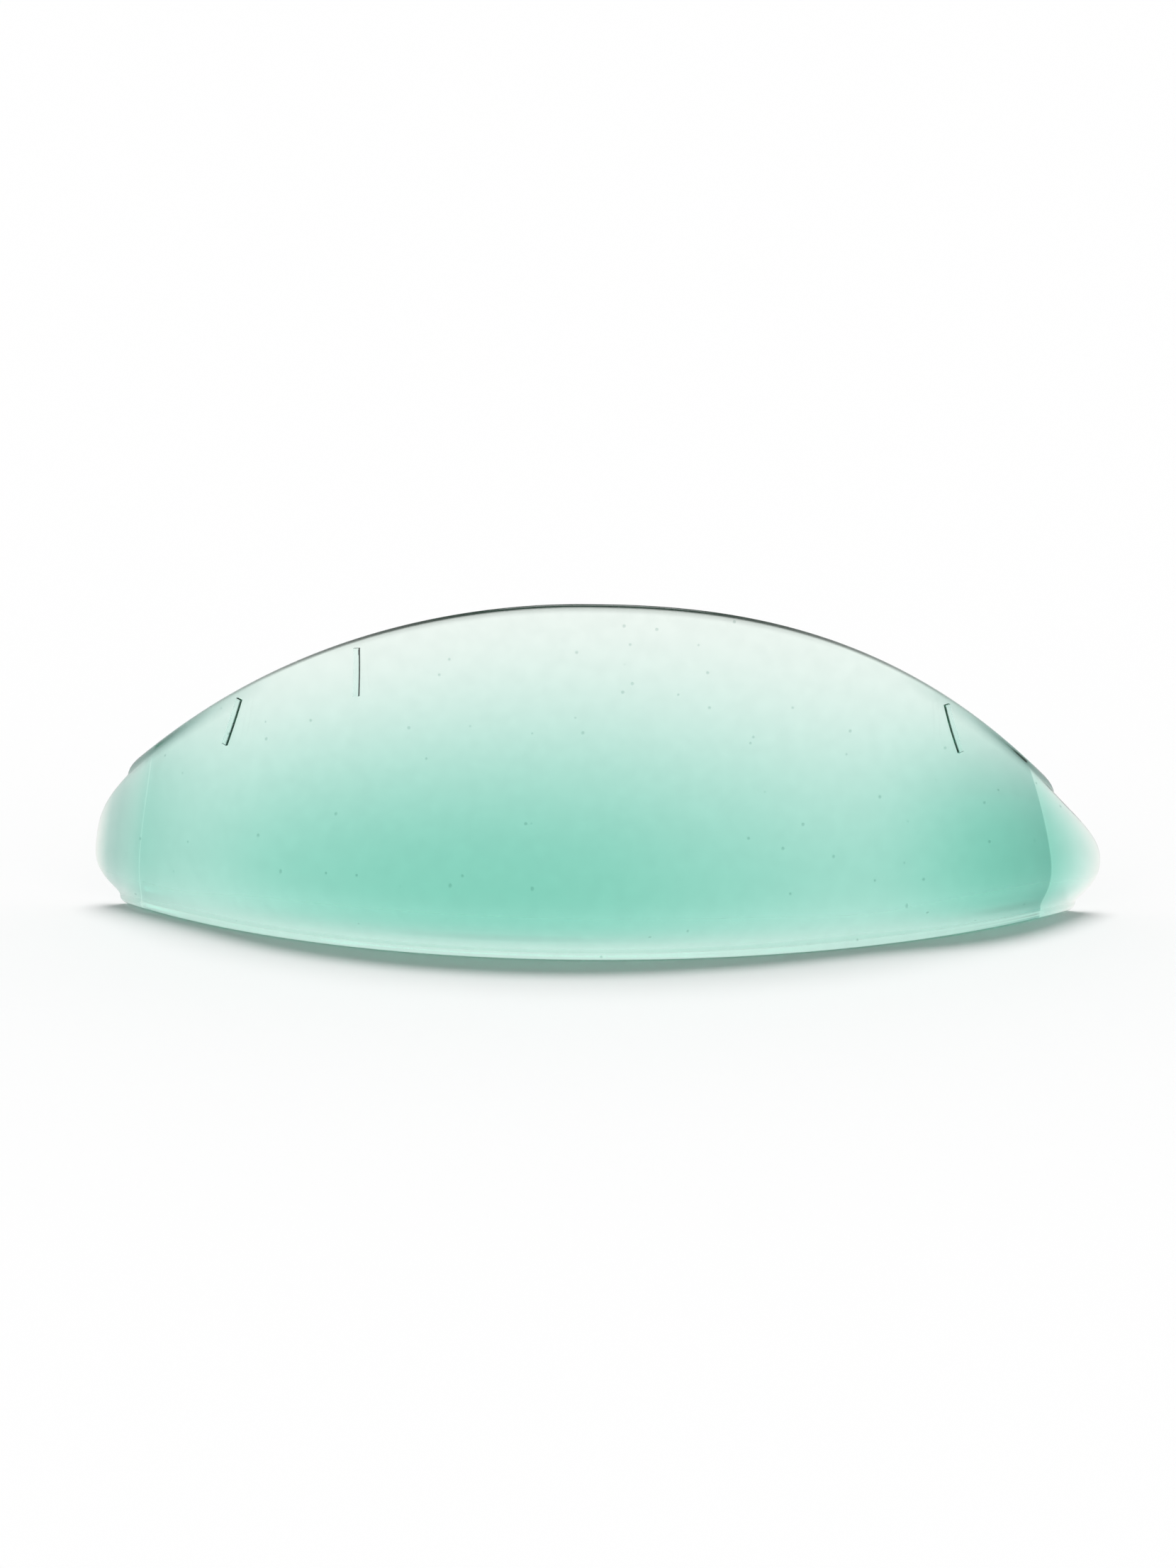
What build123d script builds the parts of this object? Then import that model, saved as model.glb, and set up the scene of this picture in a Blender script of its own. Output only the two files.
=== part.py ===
"""Moulded silicone eyelash-lift shield.

One half-moon shell: convex in front, hollow behind to lie on a closed eyelid.  It stands on
its lower (lash) edge.  Millimetres, +X across, -Y the way the convex face looks, +Z from the
lash edge up to the rim.  The shell is worked out about an upright axis behind it, then moved
so that the middle of the underside of its bounding box is the origin.
"""
from build123d import *
from math import asin, atan2, degrees, pi, sin, sqrt
import os

# overall
WIDTH = 38.0              # across the two ends
HEIGHT = 13.2             # lash edge to the crown of the rim
BACK_RADIUS = 22.0        # plan radius of the hollow back at the lash edge
BACK_LEAN = 0.8           # how far the back leans over by the crown

# wall along the fullest line, over which the lashes are combed, at even steps from the
# left end to the right end; it is thickest left of the middle and swells again at the right
RIDGE_WALLS = (1.8, 1.7, 2.45, 2.95, 3.0, 2.5, 2.1, 2.8, 2.2)

# wall elsewhere
LIP_THICKNESS = 1.1       # lip along the lower edge, middle
LEFT_LIP = 0.95           # at the left end
RIGHT_LIP = 1.4           # at the right end
RIM_THICKNESS = 0.28      # rim along the arch
END_RIM_THICKNESS = 1.2   # where the arch runs into the ends

# heights
LIP_TOP = 0.9             # the lip leaves the upright here
END_LIP_TOP = 0.55
RIDGE_FOOT = 1.3          # and swings into the ridge here
END_RIDGE_FOOT = 1.0
RIDGE_HEIGHT = 2.9
END_RIDGE_HEIGHT = 2.1
LEFT_HEIGHT = 4.46        # rim of the arch at the left end
RIGHT_HEIGHT = 3.82       # and at the right end
LEFT_FALL = 1.95          # power of the curve the arch falls by on the left
RIGHT_FALL = 2.25         # and on the right

# lower edge
LASH_ROUND = 0.32         # rounding, front and back
SOLE_TRIM = 0.05          # cut off below the rounding to leave the edge flat

# raised guide ticks: length along the front from the middle, depth of centre below the rim, lean
TICK_WIDTH = 0.25
TICK_LENGTH = 1.75
TICK_RELIEF = 0.15
TICK_ROOT = 0.18          # sunk in the wall
TICKS = ((-15.25, 1.2, 12.0), (-9.5, 1.25, -6.0), (15.7, 1.2, -5.5))

# derived: radii of the front at the tips of the two ends, how far each tip reaches from the
# axis, the flat both ends lie on, and the angle the shell is drawn through either way
TIP_BACK = BACK_RADIUS - BACK_LEAN * END_RIDGE_HEIGHT / HEIGHT
LEFT_RADIUS = TIP_BACK + RIDGE_WALLS[0]
RIGHT_RADIUS = TIP_BACK + RIDGE_WALLS[-1]
RIGHT_REACH = (WIDTH + (RIGHT_RADIUS**2 - LEFT_RADIUS**2) / WIDTH) / 2
LAND = sqrt(RIGHT_RADIUS**2 - RIGHT_REACH**2)
HALF_ANGLE = 1.01 * asin(RIGHT_REACH / RIGHT_RADIUS)
HALF_LENGTH = (LEFT_RADIUS + RIGHT_RADIUS) / 2 * HALF_ANGLE
SPANS = 16                # spans between the radial sections


def back_radius(z):
    """Radius of the leaning back at one height."""
    return BACK_RADIUS - BACK_LEAN * z / HEIGHT


def ridge_thickness(share):
    """Wall on the ridge; share runs from -1 at the left end to 1 at the right end."""
    last = len(RIDGE_WALLS) - 1
    place = (share + 1) / 2 * last
    step = min(int(place), last - 1)
    t = place - step
    a, b, c, d = (RIDGE_WALLS[min(max(step + k, 0), last)] for k in (-1, 0, 1, 2))
    return b + t / 2 * (c - a + t * (2 * a - 5 * b + 4 * c - d + t * (3 * b - a - 3 * c + d)))


def lip_thickness(share):
    """Wall of the lip along the lower edge."""
    end = LEFT_LIP if share < 0 else RIGHT_LIP
    return LIP_THICKNESS + (end - LIP_THICKNESS) * share**2


def rim_thickness(share):
    """Wall along the arch: thin until it nears the ends."""
    return RIM_THICKNESS + (END_RIM_THICKNESS - RIM_THICKNESS) * share**4


def ridge_height(share):
    """Height of the fullest line, a little lower at the ends."""
    return RIDGE_HEIGHT - (RIDGE_HEIGHT - END_RIDGE_HEIGHT) * share**4


def rim_height(share):
    """Height of the arch."""
    if share < 0:
        return HEIGHT - (HEIGHT - LEFT_HEIGHT) * (-share) ** LEFT_FALL
    return HEIGHT - (HEIGHT - RIGHT_HEIGHT) * share**RIGHT_FALL


def face_curve(share):
    """Wall against height up the front, from the ridge to the rim; fuller at the ends."""
    ridge = ridge_thickness(share)
    rim = rim_thickness(share)
    low = ridge_height(share)
    top = rim_height(share) - rim / 2
    rise = top - low
    full = share**4
    return (
        (ridge, low),
        (ridge, low + (0.2 + 0.3 * full) * rise),
        (rim + 0.22 + 0.45 * full, low + (0.58 + 0.3 * full) * rise),
        (rim, top),
    )


def front_radius(share, z):
    """Radius of the front face at one place above the ridge."""
    curve = face_curve(share)
    low, high = 0.0, 1.0
    for _ in range(30):
        t = (low + high) / 2
        weights = ((1 - t) ** 3, 3 * (1 - t) ** 2 * t, 3 * (1 - t) * t**2, t**3)
        wall = sum(w * point[0] for w, point in zip(weights, curve))
        height = sum(w * point[1] for w, point in zip(weights, curve))
        low, high = (t, high) if height < z else (low, t)
    return back_radius(z) + wall


def section(share):
    """Closed radial section of the shell: lash edge, front, rim and back."""
    ridge = ridge_thickness(share)
    lip_wall = lip_thickness(share)
    face = [(back_radius(z) + wall, z) for wall, z in face_curve(share)]
    full = share**4
    lip = [
        (back_radius(z) + wall, z)
        for wall, z in (
            (lip_wall, LASH_ROUND),
            (lip_wall, LIP_TOP + (END_LIP_TOP - LIP_TOP) * full),
            (ridge, RIDGE_FOOT + (END_RIDGE_FOOT - RIDGE_FOOT) * full),
            (ridge, ridge_height(share)),
        )
    ]
    heel = (back_radius(LASH_ROUND), LASH_ROUND)
    turn = LASH_ROUND + SOLE_TRIM
    near = turn * (1 - sin(pi / 4))
    sole_front = (lip[0][0] - turn, -SOLE_TRIM)
    sole_back = (heel[0] + turn, -SOLE_TRIM)
    crown = (back_radius(face[-1][1]) + rim_thickness(share) / 2, rim_height(share))
    shoulder = (back_radius(face[-1][1]), face[-1][1])
    outline = Line(sole_back, sole_front)
    outline += ThreePointArc(sole_front, (lip[0][0] - near, near - SOLE_TRIM), lip[0])
    outline += Bezier(*lip)
    outline += Bezier(*face)
    outline += ThreePointArc(face[-1], crown, shoulder)
    outline += Line(shoulder, heel)
    outline += ThreePointArc(heel, (heel[0] + near, near - SOLE_TRIM), sole_back)
    return Rot(0, 0, degrees(share * HALF_ANGLE) - 90) * make_face(Plane.XZ * outline)


def shell_body():
    """Shell drawn through radial sections, cut flat below and behind the two ends."""
    shell = loft([section(2 * i / SPANS - 1) for i in range(SPANS + 1)])
    reach = 2 * BACK_RADIUS
    below = Pos(0, 0, -HEIGHT / 2) * Box(2 * reach, 2 * reach, HEIGHT)
    behind = Pos(0, reach / 2 - LAND, 0) * Box(2 * reach, reach, 4 * HEIGHT)
    return shell - below - behind


def tick(along, depth, lean):
    """One raised guide tick, laid on the front face below the rim."""
    share = along / HALF_LENGTH
    height = rim_height(share) - depth
    here = front_radius(share, height)
    step = TICK_LENGTH / 4
    slope = (front_radius(share, height + step) - front_radius(share, height - step)) / 2 / step
    bar = Box(TICK_WIDTH, TICK_RELIEF + TICK_ROOT, TICK_LENGTH)
    seat = Pos(0, (TICK_ROOT - TICK_RELIEF) / 2, 0) * Rot(0, lean, 0) * bar
    tilt = Pos(0, -here, height) * Rot(-degrees(atan2(-slope, 1)), 0, 0)
    return Rot(0, 0, degrees(share * HALF_ANGLE)) * tilt * seat


def silicone_shield():
    """The whole moulding, standing on its lash edge."""
    shell = shell_body()
    for place in TICKS:
        shell += tick(*place)
    return shell


def main():
    shield = silicone_shield()
    box = shield.bounding_box()
    shield = Pos(-box.center().X, (LAND - box.min.Y) / 2, -box.min.Z) * shield
    os.makedirs("parts", exist_ok=True)
    export_step(shield, "parts/silicone_shield.step")


main()
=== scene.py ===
"""Looks of the moulded silicone eyelash-lift shield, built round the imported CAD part."""

from math import asin, atan2, cos, hypot, pi, radians, sin

import bmesh
import bpy
from mathutils import Matrix, Vector

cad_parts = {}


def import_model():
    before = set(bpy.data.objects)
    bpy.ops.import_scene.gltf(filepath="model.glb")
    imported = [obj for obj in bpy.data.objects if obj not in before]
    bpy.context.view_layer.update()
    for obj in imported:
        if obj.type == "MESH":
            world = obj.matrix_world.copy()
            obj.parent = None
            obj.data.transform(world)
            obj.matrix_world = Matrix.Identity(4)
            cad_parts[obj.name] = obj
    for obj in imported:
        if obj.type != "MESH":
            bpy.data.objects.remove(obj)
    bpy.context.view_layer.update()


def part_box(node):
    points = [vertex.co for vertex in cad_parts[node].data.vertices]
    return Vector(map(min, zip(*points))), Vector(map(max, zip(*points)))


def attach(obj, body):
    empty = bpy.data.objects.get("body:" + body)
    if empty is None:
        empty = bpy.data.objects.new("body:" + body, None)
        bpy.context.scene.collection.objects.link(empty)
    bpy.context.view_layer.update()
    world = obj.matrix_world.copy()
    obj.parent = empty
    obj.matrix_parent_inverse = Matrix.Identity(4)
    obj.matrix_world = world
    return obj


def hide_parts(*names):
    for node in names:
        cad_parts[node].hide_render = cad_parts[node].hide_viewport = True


MM = 0.001
NODE = "silicone_shield"

# the shell, in millimetres, as in the CAD
WIDTH = 38.0
HEIGHT = 13.2
BACK_RADIUS = 22.0
BACK_LEAN = 0.8
RIDGE_WALLS = (1.8, 1.7, 2.45, 2.95, 3.0, 2.5, 2.1, 2.8, 2.2)
LIP_THICKNESS = 1.1
LEFT_LIP = 0.95
RIGHT_LIP = 1.4
RIM_THICKNESS = 0.28
END_RIM_THICKNESS = 1.2
LIP_TOP = 0.9
END_LIP_TOP = 0.55
RIDGE_FOOT = 1.3
END_RIDGE_FOOT = 1.0
RIDGE_HEIGHT = 2.9
END_RIDGE_HEIGHT = 2.1
LEFT_HEIGHT = 4.46
RIGHT_HEIGHT = 3.82
LEFT_FALL = 1.95
RIGHT_FALL = 2.25
LASH_ROUND = 0.32
END_ROUND = 0.12          # softening round the flat of each end
OVERRUN = 1.01            # the shell is drawn this much past its flats before they cut it

# front of the wall between ridge and rim: pull of the curve in the middle and at the ends,
# as parts of the rise, and the wall over the rim's at the upper pull
LOW_PULL = (0.2, 0.5)
HIGH_PULL = (0.58, 0.88)
HIGH_WALL = (0.22, 0.67)

# raised guide ticks: length along the front, depth of centre below the rim, lean
TICK_WIDTH = 0.25
TICK_LENGTH = 1.75
TICK_RELIEF = 0.15
TICK_BEVEL = 0.03
TICK_ROOT = 0.1
TICKS = ((-15.25, 1.2, 12.0), (-9.5, 1.25, -6.0), (15.7, 1.2, -5.5))

# derived as in the CAD: the flat of the ends, the angle either way, the length
TIP_BACK = BACK_RADIUS - BACK_LEAN * END_RIDGE_HEIGHT / HEIGHT
LEFT_RADIUS = TIP_BACK + RIDGE_WALLS[0]
RIGHT_RADIUS = TIP_BACK + RIDGE_WALLS[-1]
RIGHT_REACH = (WIDTH + (RIGHT_RADIUS**2 - LEFT_RADIUS**2) / WIDTH) / 2
LAND = (RIGHT_RADIUS**2 - RIGHT_REACH**2) ** 0.5
HALF_ANGLE = OVERRUN * asin(RIGHT_REACH / RIGHT_RADIUS)
HALF_LENGTH = (LEFT_RADIUS + RIGHT_RADIUS) / 2 * HALF_ANGLE

# mesh density
COLUMNS = 260
FRONT_ROWS = 90
BACK_ROWS = 50
ROUND_ROWS = 7
SOLE_ROWS = 6
SAMPLES = 400
CAP_RINGS = 6
PROFILE_STEPS = 60
ROUGH_STEPS = 24          # profile steps where only a height is looked up
TICK_COLUMNS = 5
TICK_ROWS = 24
SHARP = 40.0              # edges bent more than this stay sharp

# silicone
SILICONE_IOR = 1.41
DEPTH_COLOUR = (0.10, 0.76, 0.635)    # colour taken on through the depth
DEPTH_DENSITY = 500.0
HAZE = (0.03, 0.08)                    # roughness of the moulded skin
HAZE_NOISE = (900.0, 4.0)              # scale and detail
HAZE_SPAN = (0.3, 0.7)                 # the noise between these takes the whole range
CLEAN = (0.995, 0.985, 0.95)
CLOUDY = (0.955, 0.95, 0.915)
CLOUD_NOISE = (1500.0, 6.0)
CLOUD_SPAN = (0.35, 0.65)
SPECK = (0.3, 0.42, 0.38)
SPECK_SCALE = 900.0
SPECK_SIZE = (0.04, 0.07)              # full inside the first radius, gone at the second
SPECK_STRENGTH = 0.6

# painted shade: a dark line along the edge of the arch, with a wider dark patch near each end;
# depths are below the top of the rim, and shares run from 0 in the middle to 1 at an end
EDGE_SHADE = (0.003, 0.008, 0.005)
EDGE_DROP = 0.17
EDGE_END = 0.93
EDGE_END_SHADE = 0.5
EDGE_END_DROP = (0.1, 0.7)
EDGE_END_START = (0.74, 0.86)
EDGE_END_STOP = (0.93, 0.99)
TICK_SHADE = 1.0           # painted shade on the ticks' sides towards the middle
TICK_FOOT = 0.02          # ... dark from this height over the wall up
TICK_SIDE = 0.3           # ... where the normal's part towards the middle is above this

# painted shade: under the rim near the ends, on the back near the ends, and on the left flat
SHADE_GREY = (0.35, 0.51, 0.475)
UNDER_RIM_SHADE = 0.8
UNDER_RIM_DROP = (0.3, 0.8)
UNDER_RIM_START = (0.6, 0.85)
BACK_START = (0.6, 0.9)   # shares between which the painted shade of the back sets in
RIGHT_BACK_SHADE = (1.0, 2.2)   # strength, and power of its rise towards the end
LEFT_BACK_SHADE = (0.45, 2.0)
FLAT_OUTER = (1.25, 1.75) # walls between which the painted shade of the left flat fades outwards
FLAT_INNER = (0.9, 0.3)   # and inwards, down to the fainter of the two strengths
FLAT_SHADE = (0.9, 0.4)
SKIN_DEPTH = 0.02         # what lies this close to a face counts as on it

# light
WHITE = 1.0
OVERHEAD = 0.1
ROOM_FADE = (0.3, 0.75)   # upward part of the direction over which the room darkens
FLOOR_REACH = 3.0         # metres
FLOOR_WHITE = 0.98
SUN = 2.1
SUN_SPREAD = 40.0         # degrees
SUN_TILT = -12.0          # degrees, from behind

# camera, in degrees and millimetres
AZIMUTH = 1.9
ELEVATION = 13.1
DISTANCE = 450.0
VIEW_HEIGHT = 58.24       # height of the picture at that distance
AIM = (-0.143, -0.912, 6.19)
SENSOR = 36.0
CLIP = (0.01, 20.0)       # metres


# ---- the shell's shape ----------------------------------------------------------------


def bezier(points, t):
    """Point of a cubic curve."""
    a, b, c, d = (1 - t) ** 3, 3 * (1 - t) ** 2 * t, 3 * (1 - t) * t * t, t**3
    return tuple(a * p + b * q + c * r + d * s for p, q, r, s in zip(*points))


def blend_ends(middle, end, full):
    """Value on the way from the middle (full 0) to an end (full 1)."""
    return middle + (end - middle) * full


def back_radius(z):
    """Radius of the hollow back at one height."""
    return BACK_RADIUS - BACK_LEAN * z / HEIGHT


def ridge_thickness(share):
    """Wall on the ridge; share runs from -1 at the left end to 1 at the right end."""
    last = len(RIDGE_WALLS) - 1
    place = (share + 1) / 2 * last
    step = min(int(place), last - 1)
    t = place - step
    a, b, c, d = (RIDGE_WALLS[min(max(step + k, 0), last)] for k in (-1, 0, 1, 2))
    return b + t / 2 * (c - a + t * (2 * a - 5 * b + 4 * c - d + t * (3 * b - a - 3 * c + d)))


def lip_thickness(share):
    """Wall at the lash edge."""
    end = LEFT_LIP if share < 0 else RIGHT_LIP
    return blend_ends(LIP_THICKNESS, end, share**2)


def rim_thickness(share):
    """Wall at the rim."""
    return blend_ends(RIM_THICKNESS, END_RIM_THICKNESS, share**4)


def ridge_height(share):
    """Height at which the wall is fullest."""
    return blend_ends(RIDGE_HEIGHT, END_RIDGE_HEIGHT, share**4)


def rim_height(share):
    """Height of the top of the rim."""
    if share < 0:
        return HEIGHT - (HEIGHT - LEFT_HEIGHT) * (-share) ** LEFT_FALL
    return HEIGHT - (HEIGHT - RIGHT_HEIGHT) * share**RIGHT_FALL


def front_profile(share, steps=PROFILE_STEPS):
    """Points (height, radius) up the front face, from the lash edge to the rim."""
    ridge = ridge_thickness(share)
    rim = rim_thickness(share)
    wall = lip_thickness(share)
    low = ridge_height(share)
    top = rim_height(share) - rim / 2
    rise = top - low
    full = share**4
    lip = (
        (LASH_ROUND, wall),
        (blend_ends(LIP_TOP, END_LIP_TOP, full), wall),
        (blend_ends(RIDGE_FOOT, END_RIDGE_FOOT, full), ridge),
        (low, ridge),
    )
    face = (
        (low, ridge),
        (low + blend_ends(*LOW_PULL, full) * rise, ridge),
        (low + blend_ends(*HIGH_PULL, full) * rise, rim + blend_ends(*HIGH_WALL, full)),
        (top, rim),
    )
    points = [bezier(lip, i / steps) for i in range(steps)]
    points += [bezier(face, i / steps) for i in range(steps + 1)]
    return [(0.0, wall + back_radius(0))] + [(z, back_radius(z) + w) for z, w in points]


def at_height(profile, z):
    """Radius of a profile at one height."""
    for (z0, r0), (z1, r1) in zip(profile, profile[1:]):
        if z <= z1:
            return r0 + (r1 - r0) * (z - z0) / max(z1 - z0, 1e-9)
    return profile[-1][1]


def section(share):
    """Closed loop (radius, height) of one radial section, the same number of points each."""
    profile = front_profile(share)
    rim = rim_thickness(share) / 2
    top = rim_height(share) - rim
    low = LASH_ROUND
    loop = []
    for i in range(FRONT_ROWS):
        z = low + (top - low) * i / (FRONT_ROWS - 1)
        loop.append((at_height(profile, z), z))
    middle = back_radius(top) + rim
    for i in range(1, 2 * ROUND_ROWS):
        a = pi * i / (2 * ROUND_ROWS)
        loop.append((middle + rim * cos(a), top + rim * sin(a)))
    for i in range(BACK_ROWS):
        z = top + (low - top) * i / (BACK_ROWS - 1)
        loop.append((back_radius(z), z))
    heel = back_radius(low) + low
    toe = at_height(profile, low) - low
    for i in range(1, ROUND_ROWS + 1):
        a = pi / 2 * i / ROUND_ROWS
        loop.append((heel - low * cos(a), low - low * sin(a)))
    for i in range(SOLE_ROWS):
        loop.append((heel + (toe - heel) * (i + 1) / (SOLE_ROWS + 1), 0.0))
    for i in range(ROUND_ROWS):
        a = pi / 2 * (1 - i / ROUND_ROWS)
        loop.append((toe + low * cos(a), low - low * sin(a)))
    return loop


def place(share, r, z):
    """Point in millimetres about the plan axis."""
    angle = share * HALF_ANGLE
    return Vector((r * sin(angle), -r * cos(angle), z))


def strands():
    """The shell's skin as one strand of points per row of the section, left to right."""
    shares = [i / SAMPLES * 2 - 1 for i in range(SAMPLES + 1)]
    rings = [[place(share, r, z) for r, z in section(share)] for share in shares]
    return [list(strand) for strand in zip(*rings)]


def cross(strand, depth):
    """Places along a strand, left and right, where it passes a depth behind the front."""
    found = []
    for k, (p, q) in enumerate(zip(strand, strand[1:])):
        if (p.y + depth) * (q.y + depth) <= 0:
            found.append(k + (-depth - p.y) / (q.y - p.y))
    return found[0], found[-1]


def along_strand(strand, k):
    """Point at a fractional place along a strand."""
    i = min(int(k), len(strand) - 2)
    return strand[i].lerp(strand[i + 1], k - i)


def shrink(ring, inset):
    """Ring in an upright plane moved inwards by an even amount."""
    moved = []
    doubled_area = sum(p.x * q.z - q.x * p.z for p, q in zip(ring, ring[1:] + ring[:1]))
    side = 1 if doubled_area > 0 else -1
    for i, p in enumerate(ring):
        step = ring[(i + 1) % len(ring)] - ring[i - 1]
        length = hypot(step.x, step.z) or 1
        moved.append(p + Vector((-step.z, 0, step.x)) * (side * inset / length))
    return moved


def shell_mesh():
    """Closed skin of the shell without its ticks, flat behind both ends.

    The rings run along the shell: round the edge of the left flat, along the arch, and round
    the edge of the right flat.
    """
    skin = strands()
    edges = []
    for i in range(ROUND_ROWS + 1):
        a = pi / 2 * i / ROUND_ROWS
        depth = LAND + END_ROUND * (1 - sin(a))
        places = [cross(strand, depth) for strand in skin]
        for side in (0, 1):
            ring = [along_strand(strand, k[side]) for strand, k in zip(skin, places)]
            edges.append((side, shrink(ring, END_ROUND * (1 - cos(a)))))
        if i == 0:
            spans = places
    rings = [ring for side, ring in reversed(edges) if side == 0][:-1]
    for i in range(COLUMNS + 1):
        t = i / COLUMNS
        rings.append([along_strand(s, k[0] + (k[1] - k[0]) * t) for s, k in zip(skin, spans)])
    rings += [ring for side, ring in edges if side == 1][1:]
    mesh = bmesh.new()
    rings = [[mesh.verts.new(p * MM) for p in ring] for ring in rings]
    count = len(rings[0])
    for a, b in zip(rings, rings[1:]):
        for i in range(count):
            j = (i + 1) % count
            mesh.faces.new((a[i], a[j], b[j], b[i]))
    for ring in (rings[0], rings[-1]):
        close_end(mesh, ring)
    bmesh.ops.recalc_face_normals(mesh, faces=mesh.faces)
    return mesh


def close_end(mesh, ring):
    """Closes a flat end with rings drawn in to its middle."""
    middle = sum((v.co for v in ring), Vector()) / len(ring)
    count = len(ring)
    for k in range(1, CAP_RINGS):
        inner = [mesh.verts.new(v.co.lerp(middle, 1 / (CAP_RINGS - k + 1))) for v in ring]
        for i in range(count):
            j = (i + 1) % count
            mesh.faces.new((ring[i], ring[j], inner[j], inner[i]))
        ring = inner
    hub = mesh.verts.new(middle)
    for i in range(count):
        mesh.faces.new((ring[i], ring[(i + 1) % count], hub))


def tick_point(tick, x, y, lift):
    """Point over the front face, x across a tick and y along it from its centre."""
    along, depth, lean = tick
    tilt = radians(lean)
    height = rim_height(along / HALF_LENGTH) - depth
    share = (along + x * cos(tilt) + y * sin(tilt)) / HALF_LENGTH
    z = height - x * sin(tilt) + y * cos(tilt)
    r = at_height(front_profile(share, ROUGH_STEPS), z) + lift
    return place(share, r, z) * MM


def tick_mesh(tick):
    """Closed raised bar lying on the front face."""
    columns, rows = TICK_COLUMNS, TICK_ROWS
    mesh = bmesh.new()
    layers = []
    for lift, inset in (
        (-TICK_ROOT, 0),
        (TICK_RELIEF - TICK_BEVEL, 0),
        (TICK_RELIEF, TICK_BEVEL),
    ):
        grid = []
        for i in range(columns + 1):
            x = (TICK_WIDTH - 2 * inset) * (i / columns - 0.5)
            line = []
            for j in range(rows + 1):
                y = (TICK_LENGTH - 2 * inset) * (j / rows - 0.5)
                line.append(mesh.verts.new(tick_point(tick, x, y, lift)))
            grid.append(line)
        layers.append(grid)
    bottom, shoulder, top = layers
    for grid in (bottom, top):
        for i in range(columns):
            for j in range(rows):
                mesh.faces.new((grid[i][j], grid[i + 1][j], grid[i + 1][j + 1], grid[i][j + 1]))
    edge = [(i, 0) for i in range(columns)] + [(columns, j) for j in range(rows)]
    edge += [(i, rows) for i in range(columns, 0, -1)] + [(0, j) for j in range(rows, 0, -1)]
    for lower, upper in ((bottom, shoulder), (shoulder, top)):
        for k, (i, j) in enumerate(edge):
            m, n = edge[(k + 1) % len(edge)]
            mesh.faces.new((lower[i][j], lower[m][n], upper[m][n], upper[i][j]))
    loose = [v for v in mesh.verts if not v.link_faces]
    bmesh.ops.delete(mesh, geom=loose, context="VERTS")
    bmesh.ops.recalc_face_normals(mesh, faces=mesh.faces)
    return mesh


def make_object(name, mesh):
    """Object made of a finished bmesh."""
    data = bpy.data.meshes.new(name)
    mesh.to_mesh(data)
    mesh.free()
    obj = bpy.data.objects.new(name, data)
    bpy.context.scene.collection.objects.link(obj)
    return obj


def apply_modifiers(obj):
    """Bakes an object's modifiers into its mesh."""
    graph = bpy.context.evaluated_depsgraph_get()
    data = bpy.data.meshes.new_from_object(obj.evaluated_get(graph))
    obj.modifiers.clear()
    obj.data = data


def to_cad(mesh, low, high):
    """Move that centres a mesh on the CAD node's box and stands it on the floor."""
    points = [v.co for v in mesh.vertices]
    x, y = ((min(p[i] for p in points) + max(p[i] for p in points)) / 2 for i in range(2))
    foot = min(p[2] for p in points)
    return Vector(((low[0] + high[0]) / 2 - x, (low[1] + high[1]) / 2 - y, -foot))


def build_shield(low, high):
    """The shield with its ticks in one closed skin, set where the CAD node is."""
    shield = make_object("shield_moulding", shell_mesh())
    for tick in TICKS:
        bar = make_object("tick", tick_mesh(tick))
        join = shield.modifiers.new("tick", "BOOLEAN")
        join.operation = "UNION"
        join.solver = "EXACT"
        join.object = bar
        apply_modifiers(shield)
        bpy.data.objects.remove(bar)
    move = to_cad(shield.data, low, high)
    shield.data.transform(Matrix.Translation(move))
    mark(shield.data, move / MM)
    for face in shield.data.polygons:
        face.use_smooth = True
    shield.data.set_sharp_from_angle(angle=radians(SHARP))
    return shield


# ---- materials ------------------------------------------------------------------------


def front_wall(share, z):
    """Wall under one place on the front."""
    return at_height(front_profile(share, ROUGH_STEPS), z) - back_radius(z)


def ease(value, low, high):
    """0 to 1 as a value passes from low to high, which may be the smaller one."""
    return max(0.0, min(1.0, (value - low) / (high - low)))


def edge_shade(way, below):
    """Painted shade along the edge: a fine dark line along the arch and a wider dark patch near
    each end.
    """
    line = 1 - ease(below, EDGE_DROP / 2, EDGE_DROP)
    line *= max(0.0, 1 - (way / EDGE_END) ** 4)
    end_shade = EDGE_END_SHADE * (1 - ease(below, *EDGE_END_DROP)) * ease(way, *EDGE_END_START)
    return max(line, end_shade * (1 - ease(way, *EDGE_END_STOP)))


def shade_under_rim(way, below):
    """Painted shade under the rim towards the ends."""
    return UNDER_RIM_SHADE * (1 - ease(below, *UNDER_RIM_DROP)) * ease(way, *UNDER_RIM_START)


def back_shade(share):
    """Painted shade on the back towards the ends."""
    strength, power = LEFT_BACK_SHADE if share < 0 else RIGHT_BACK_SHADE
    return strength * ease(abs(share), *BACK_START) ** power


def flat_shade(share, wall):
    """Painted shade on the flat behind the left end; the right one is clear."""
    if share > 0:
        return 0.0
    full, faint = FLAT_SHADE
    return (1 - ease(wall, *FLAT_OUTER)) * (full - (full - faint) * ease(wall, *FLAT_INNER))


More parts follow.
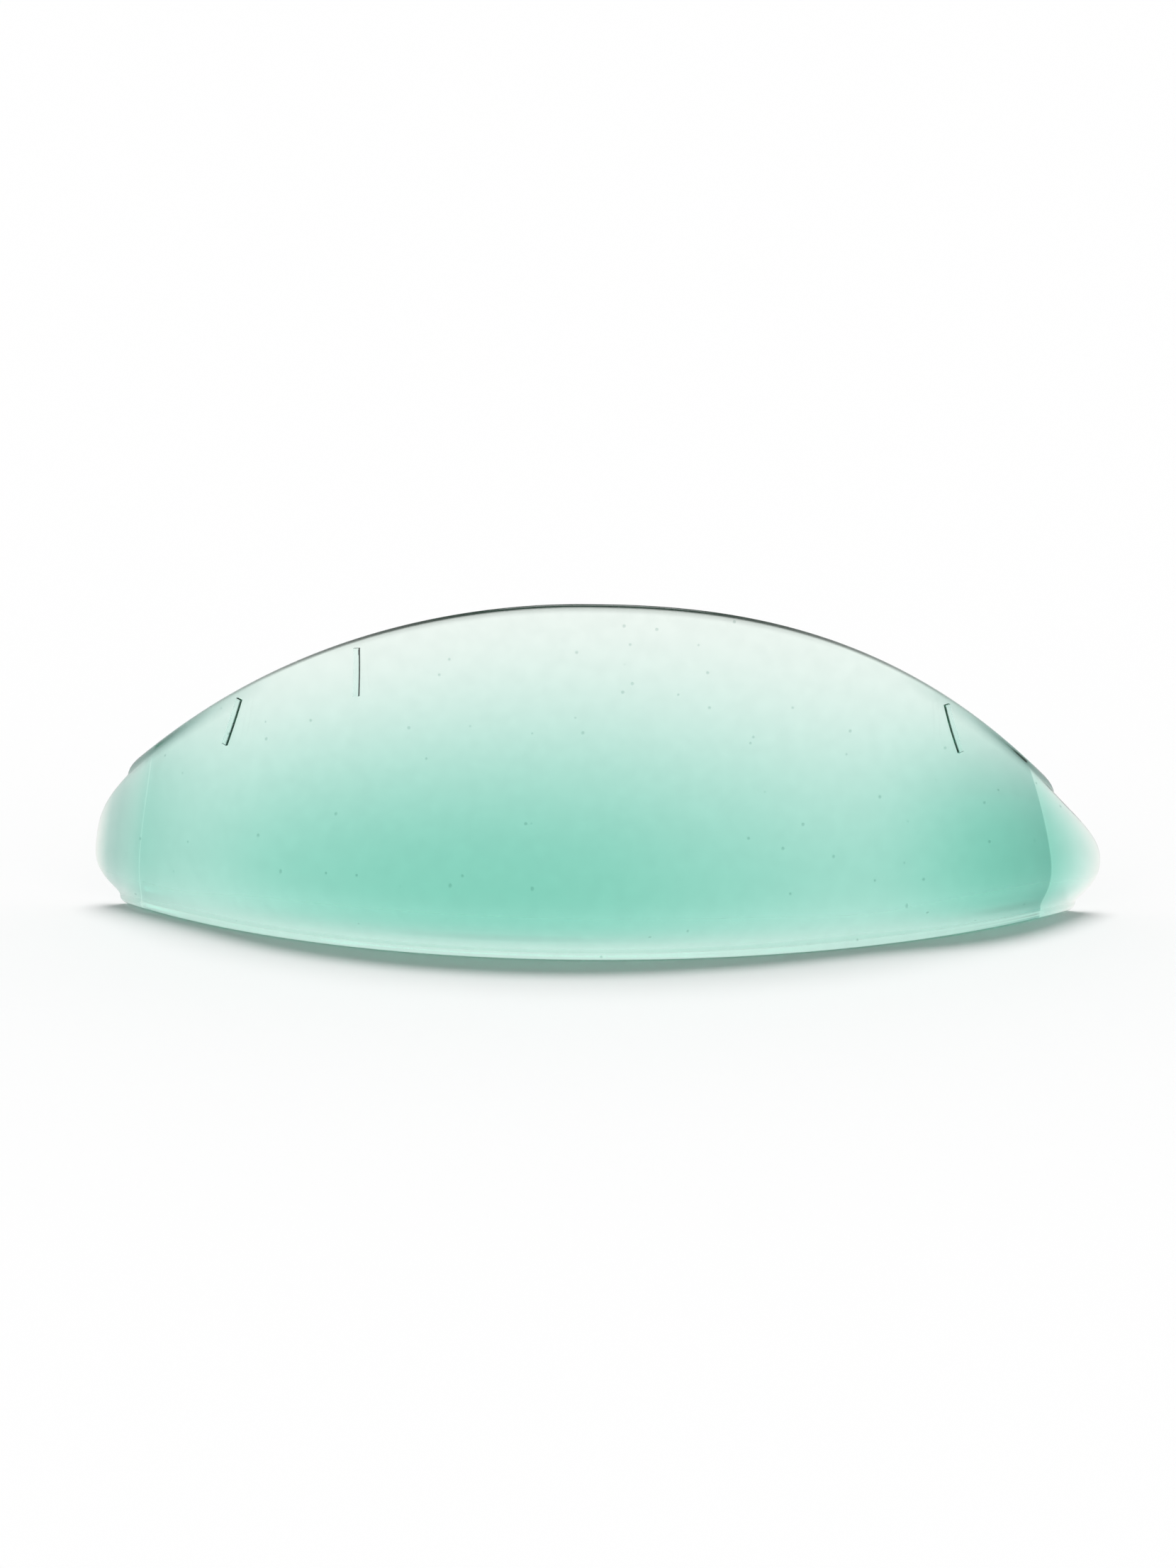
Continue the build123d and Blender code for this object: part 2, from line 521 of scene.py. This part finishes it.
def mark(mesh, axis):
    """Point attributes: painted shade along the edge and on the ticks' sides, and painted shade
    near the ends.
    """
    rim = mesh.attributes.new("rim", "FLOAT", "POINT")
    painted_shade = mesh.attributes.new("painted_shade", "FLOAT", "POINT")
    for vertex, dark, shade in zip(mesh.vertices, rim.data, painted_shade.data):
        x, y, z = vertex.co / MM - axis
        share = max(-1, min(1, atan2(x, -y) / HALF_ANGLE))
        way = abs(share)
        below = rim_height(share) - z
        wall = hypot(x, y) - back_radius(z)
        raised = wall - front_wall(share, z) > TICK_FOOT
        # painted shade on the ticks' sides that face the middle
        if raised and vertex.normal.x * share < -TICK_SIDE:
            dark.value = TICK_SHADE
        else:
            # painted shade: the dark line along the edge and the dark patches near the ends
            dark.value = edge_shade(way, below)
        # painted shade on the left flat and on the back near the ends
        inside = 0.0
        if y > -LAND - SKIN_DEPTH:
            inside = flat_shade(share, wall)
        elif wall < SKIN_DEPTH:
            inside = back_shade(share)
        shade.value = max(shade_under_rim(way, below), inside)


def noise(nodes, links, coords, scale, detail):
    """Noise over the object's own coordinates."""
    node = nodes.new("ShaderNodeTexNoise")
    node.inputs["Scale"].default_value = scale
    node.inputs["Detail"].default_value = detail
    links.new(coords, node.inputs["Vector"])
    return node.outputs["Fac"]


def spread(nodes, links, value, source, target):
    """Value mapped from one range to another."""
    node = nodes.new("ShaderNodeMapRange")
    for name, number in zip(("From Min", "From Max", "To Min", "To Max"), (*source, *target)):
        node.inputs[name].default_value = number
    links.new(value, node.inputs["Value"])
    return node.outputs["Result"]


def blend(nodes, links, factor, below, above):
    """Colour mix; each side is a colour or another node's output."""
    node = nodes.new("ShaderNodeMix")
    node.data_type = "RGBA"
    links.new(factor, node.inputs["Factor"])
    sockets = [socket for socket in node.inputs if socket.type == "RGBA"]
    for socket, colour in zip(sockets, (below, above)):
        if isinstance(colour, tuple):
            socket.default_value = (*colour, 1)
        else:
            links.new(colour, socket)
    return next(socket for socket in node.outputs if socket.type == "RGBA")


def silicone():
    """Clear mint silicone: colour by depth, haze, specks, painted shade near the ends and a
    painted dark edge.
    """
    material = bpy.data.materials.new("mint_silicone")
    material.use_nodes = True
    nodes, links = material.node_tree.nodes, material.node_tree.links
    nodes.clear()
    out = nodes.new("ShaderNodeOutputMaterial")
    skin = nodes.new("ShaderNodeBsdfPrincipled")
    depth = nodes.new("ShaderNodeVolumeAbsorption")
    coords = nodes.new("ShaderNodeTexCoord").outputs["Object"]
    skin.inputs["Transmission Weight"].default_value = 1.0
    skin.inputs["IOR"].default_value = SILICONE_IOR
    depth.inputs["Color"].default_value = (*DEPTH_COLOUR, 1)
    depth.inputs["Density"].default_value = DEPTH_DENSITY
    haze = noise(nodes, links, coords, *HAZE_NOISE)
    links.new(spread(nodes, links, haze, HAZE_SPAN, HAZE), skin.inputs["Roughness"])
    cloud = noise(nodes, links, coords, *CLOUD_NOISE)
    cloud = spread(nodes, links, cloud, CLOUD_SPAN, (0, 1))
    surface = blend(nodes, links, cloud, CLOUDY, CLEAN)
    specks = nodes.new("ShaderNodeTexVoronoi")
    specks.inputs["Scale"].default_value = SPECK_SCALE
    links.new(coords, specks.inputs["Vector"])
    spot = spread(nodes, links, specks.outputs["Distance"], SPECK_SIZE, (SPECK_STRENGTH, 0.0))
    surface = blend(nodes, links, spot, surface, SPECK)
    # both attributes paint shade into the colour: near the ends, and the dark edge line and
    # tick sides
    for name, colour in (("painted_shade", SHADE_GREY), ("rim", EDGE_SHADE)):
        mask = nodes.new("ShaderNodeAttribute")
        mask.attribute_name = name
        surface = blend(nodes, links, mask.outputs["Fac"], surface, colour)
    links.new(surface, skin.inputs["Base Color"])
    links.new(skin.outputs["BSDF"], out.inputs["Surface"])
    links.new(depth.outputs["Volume"], out.inputs["Volume"])
    return material


def matt_white():
    """Plain matt surface of the floor."""
    material = bpy.data.materials.new("white_floor")
    material.use_nodes = True
    skin = material.node_tree.nodes["Principled BSDF"]
    skin.inputs["Base Color"].default_value = (FLOOR_WHITE, FLOOR_WHITE, FLOOR_WHITE, 1)
    skin.inputs["Roughness"].default_value = 1.0
    skin.inputs["Specular IOR Level"].default_value = 0.0
    return material


# ---- studio ---------------------------------------------------------------------------


def floor():
    """Pale square floor."""
    mesh = bmesh.new()
    corners = ((-1, -1), (1, -1), (1, 1), (-1, 1))
    mesh.faces.new([mesh.verts.new((x * FLOOR_REACH, y * FLOOR_REACH, 0)) for x, y in corners])
    obj = make_object("floor", mesh)
    obj.data.materials.append(matt_white())


def room():
    """White surroundings that darken overhead."""
    world = bpy.data.worlds.new("white_room")
    world.use_nodes = True
    nodes, links = world.node_tree.nodes, world.node_tree.links
    height = nodes.new("ShaderNodeSeparateXYZ")
    links.new(nodes.new("ShaderNodeTexCoord").outputs["Generated"], height.inputs["Vector"])
    level = spread(nodes, links, height.outputs["Z"], ROOM_FADE, (WHITE, OVERHEAD))
    links.new(level, nodes["Background"].inputs["Strength"])
    nodes["Background"].inputs["Color"].default_value = (1, 1, 1, 1)
    bpy.context.scene.world = world


def lamp():
    """One broad soft light above, a little behind."""
    data = bpy.data.lights.new("soft_top", "SUN")
    data.energy = SUN
    data.angle = radians(SUN_SPREAD)
    obj = bpy.data.objects.new("soft_top", data)
    obj.rotation_euler = (radians(SUN_TILT), 0, 0)
    bpy.context.scene.collection.objects.link(obj)


def camera():
    """Camera at the photograph's viewing angle."""
    a, e = radians(AZIMUTH), radians(ELEVATION)
    forward = Vector((-sin(a) * cos(e), cos(a) * cos(e), -sin(e)))
    data = bpy.data.cameras.new("camera")
    data.sensor_width = SENSOR
    data.lens = SENSOR * DISTANCE / VIEW_HEIGHT
    data.clip_start, data.clip_end = CLIP
    obj = bpy.data.objects.new("camera", data)
    obj.location = (Vector(AIM) - forward * DISTANCE) * MM
    obj.rotation_euler = forward.to_track_quat("-Z", "Y").to_euler()
    bpy.context.scene.collection.objects.link(obj)
    bpy.context.scene.camera = obj


def main():
    """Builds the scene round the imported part."""
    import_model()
    low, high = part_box(NODE)
    shield = build_shield(low, high)
    shield.data.materials.clear()
    shield.data.materials.append(silicone())
    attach(shield, "root")
    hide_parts(NODE)
    floor()
    room()
    lamp()
    camera()
    bpy.context.scene.view_settings.view_transform = "Standard"


main()
